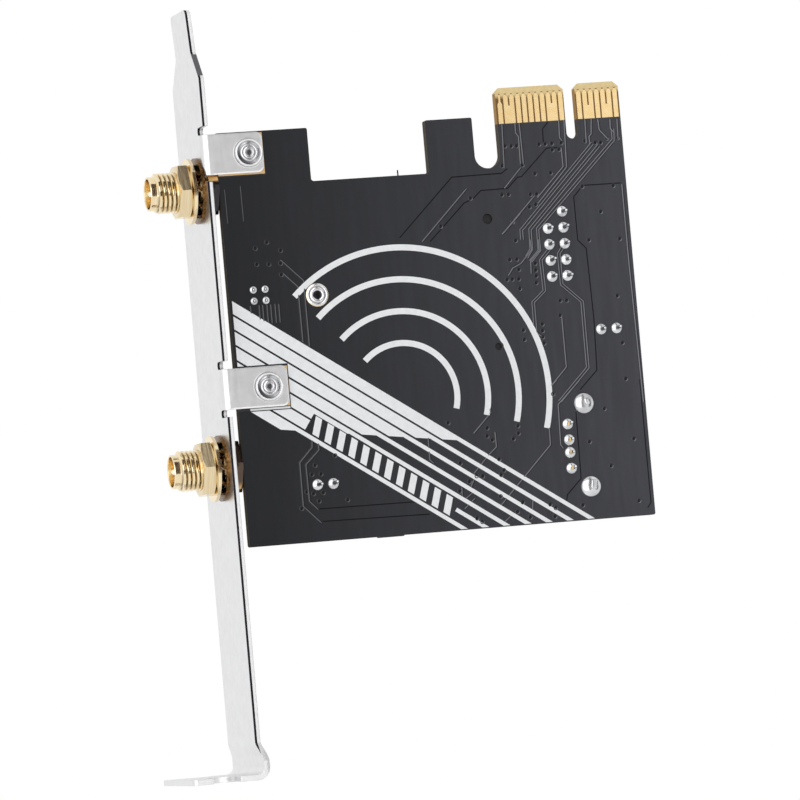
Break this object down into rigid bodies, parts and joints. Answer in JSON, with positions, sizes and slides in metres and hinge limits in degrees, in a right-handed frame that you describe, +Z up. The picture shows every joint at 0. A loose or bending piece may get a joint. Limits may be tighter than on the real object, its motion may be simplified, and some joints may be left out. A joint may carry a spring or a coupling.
{
  "type": "pcie wifi card",
  "caption": "Full-height x1 expansion card with a radio module on its hidden side, a folded steel bracket, threaded gold antenna jacks and a dark board with slanted white bands.",
  "frame": {"origin": "centre of the key notch at the contact tips, half way through the board", "axes": "+Z up from the card slot, contacts pointing down; +X towards the bracket; -Y is the solder side with the white bands, +Y the side with the radio module"},
  "size_m": [0.08, 0.0216, 0.12],
  "materials": {
    "solder_mask_board": "satin solder mask over glass fibre",
    "gold_plate": "gold over nickel",
    "bare_pad": "gold-plated copper",
    "print_white": "screen print",
    "plated_steel": "nickel-plated sheet, semi-bright",
    "screw_zinc": "zinc plated",
    "jack_gold": "gold plated, turned",
    "jack_plastic": "moulded",
    "black_moulding": "moulded",
    "contact_gold": "gold plated",
    "nickel": "nickel plated",
    "module_board": "green solder mask over glass fibre",
    "shield_metal": "tinned steel",
    "pin_gold": "gold flash",
    "solder": "bright solder",
    "capacitor_ceramic": "fired ceramic",
    "resistor_glaze": "glazed",
    "tinned_terminal": "tinned",
    "chip_moulding": "moulded epoxy",
    "choke_ferrite": "pressed iron powder"
  },
  "bodies": {
    "root": {"circuit_board": "solder_mask_board", "edge_contacts_solder_side": "gold_plate", "edge_contacts_component_side": "gold_plate", "ground_pads": "bare_pad", "white_print": "print_white", "bracket": "plated_steel", "bracket_screw_1": "screw_zinc", "bracket_screw_2": "screw_zinc", "module_socket": "black_moulding", "module_socket_contacts": "contact_gold", "module_standoff": "nickel", "module_screw": "screw_zinc", "radio_module_board": "module_board", "radio_module_contacts": "contact_gold", "radio_shield": "shield_metal", "coax_receptacles": "jack_gold", "nine_pin_header_base": "black_moulding", "nine_pin_header_pins": "pin_gold", "two_pin_header_bases": "black_moulding", "two_pin_header_pins": "pin_gold", "service_header_base": "black_moulding", "service_header_pins": "pin_gold", "plug_socket_shell": "nickel", "plug_socket_insulator": "black_moulding", "plug_socket_contacts": "contact_gold", "solder_joints": "solder", "capacitor_bodies": "capacitor_ceramic", "capacitor_terminals": "tinned_terminal", "resistor_bodies": "resistor_glaze", "resistor_terminals": "tinned_terminal", "regulator_case": "chip_moulding", "regulator_leads": "tinned_terminal", "power_choke": "choke_ferrite", "power_choke_feet": "tinned_terminal", "antenna_jack_body_1": "jack_gold", "antenna_jack_insulator_1": "jack_plastic", "antenna_jack_pin_1": "contact_gold", "antenna_jack_nut_1": "jack_gold", "antenna_jack_washer_1": "jack_gold", "antenna_jack_lock_washer_1": "jack_gold", "antenna_jack_body_2": "jack_gold", "antenna_jack_insulator_2": "jack_plastic", "antenna_jack_pin_2": "contact_gold", "antenna_jack_nut_2": "jack_gold", "antenna_jack_washer_2": "jack_gold", "antenna_jack_lock_washer_2": "jack_gold"}
  },
  "joints": []
}
